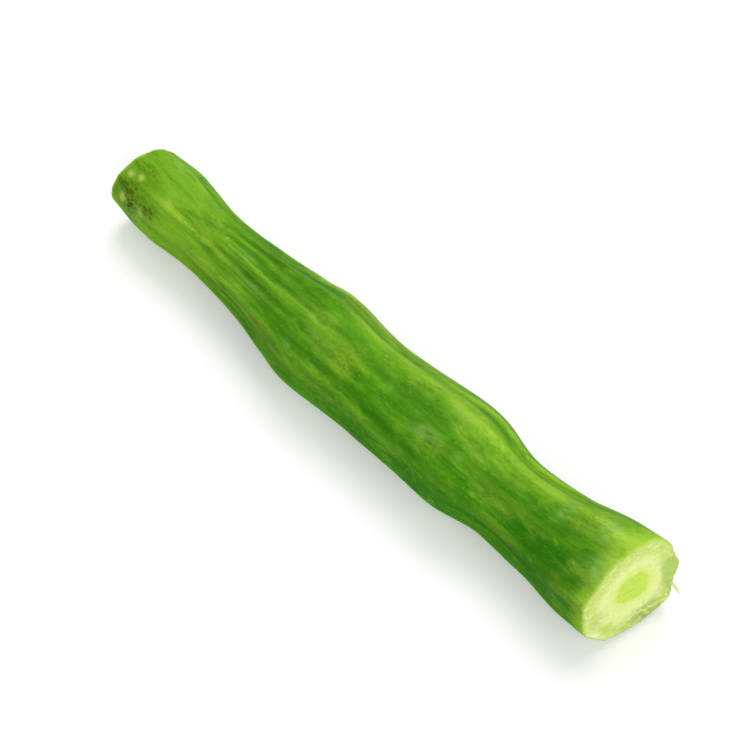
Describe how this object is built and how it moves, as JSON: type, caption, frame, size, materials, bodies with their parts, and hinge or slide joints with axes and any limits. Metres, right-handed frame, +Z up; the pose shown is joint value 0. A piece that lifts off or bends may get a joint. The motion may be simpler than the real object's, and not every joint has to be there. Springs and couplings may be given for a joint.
{
  "type": "drumstick pod",
  "caption": "Cut length of fresh green drumstick (moringa) pod, ribbed, bowed and swelling over its seeds, with a plain knife cut at each end, lying on its side.",
  "frame": {"origin": "middle of the base of the pod's bounding box, on the surface that the pod lies on", "axes": "+X along the pod from its narrow cut end to its wide cut end, +Z up"},
  "size_m": [0.1232, 0.0212, 0.0198],
  "materials": {
    "pod_skin": "fresh waxy green plant skin with a satin sheen; the cut ends show pale fibrous flesh"
  },
  "bodies": {
    "root": {"drumstick_pod": "pod_skin"}
  },
  "joints": []
}
